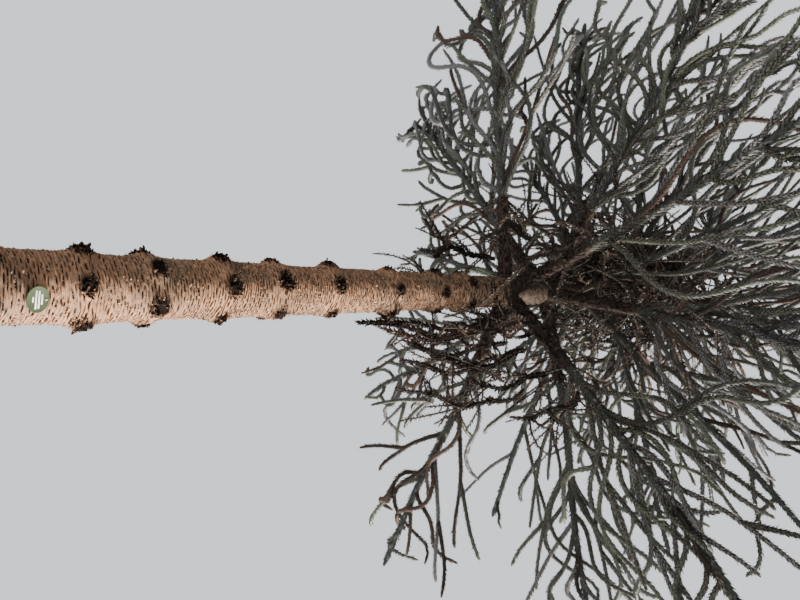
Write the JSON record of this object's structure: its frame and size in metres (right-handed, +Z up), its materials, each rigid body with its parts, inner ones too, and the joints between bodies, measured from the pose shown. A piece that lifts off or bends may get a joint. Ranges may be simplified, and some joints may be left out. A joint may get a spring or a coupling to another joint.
{
  "type": "monkey puzzle tree",
  "caption": "Whole rooted monkey puzzle tree: a tall bare trunk with ringed bark and whorls of old branch stubs, under a domed crown of rope-like, spiny evergreen shoots",
  "frame": {"origin": "centre of the flat cut under the trunk, at ground level", "axes": "+Z up the trunk, -Y towards the side that the picture was taken from, +X to the right of that view"},
  "size_m": [6.3331, 6.1788, 13.2],
  "materials": {
    "bark": "pinkish tan bark in fine horizontal wrinkles, rough and dry",
    "bough_bark": "dark grey-brown bark with old dead scale leaves, rough",
    "foliage": "stiff leathery leaves, dark olive green with a slight sheen, some dead and brown",
    "plate": "dull green enamel, blank but for plain pale bars"
  },
  "bodies": {
    "root": {"trunk": "bark", "name_plate": "plate", "bough_1_1": "bough_bark", "bough_1_2": "bough_bark", "bough_1_4": "bough_bark", "bough_1_5": "bough_bark", "bough_2_1": "bough_bark", "bough_2_2": "bough_bark", "bough_2_3": "bough_bark", "bough_2_4": "bough_bark", "bough_2_5": "bough_bark", "foliage_1_1": "foliage", "foliage_1_2": "foliage", "foliage_1_4": "foliage", "foliage_1_5": "foliage", "foliage_2_1": "foliage", "foliage_2_2": "foliage", "foliage_2_3": "foliage", "foliage_2_4": "foliage", "foliage_2_5": "foliage", "foliage_3_1": "foliage", "foliage_3_2": "foliage", "foliage_3_3": "foliage", "foliage_3_4": "foliage", "foliage_3_5": "foliage", "foliage_4_1": "foliage", "foliage_4_2": "foliage", "foliage_4_3": "foliage", "foliage_4_4": "foliage", "foliage_4_5": "foliage", "foliage_5_1": "foliage", "foliage_5_2": "foliage", "foliage_5_3": "foliage", "foliage_5_4": "foliage", "foliage_5_5": "foliage", "foliage_6_1": "foliage", "foliage_6_2": "foliage", "foliage_6_3": "foliage", "foliage_6_4": "foliage", "foliage_6_5": "foliage", "foliage_7_1": "foliage", "foliage_7_2": "foliage", "foliage_7_3": "foliage", "foliage_7_4": "foliage", "foliage_8_1": "foliage", "foliage_8_2": "foliage", "foliage_8_3": "foliage", "foliage_8_4": "foliage", "foliage_9_1": "foliage", "foliage_9_2": "foliage", "foliage_9_3": "foliage", "foliage_9_4": "foliage", "foliage_10_1": "foliage", "foliage_10_2": "foliage", "foliage_10_3": "foliage", "leading_shoot": "foliage"}
  },
  "joints": []
}
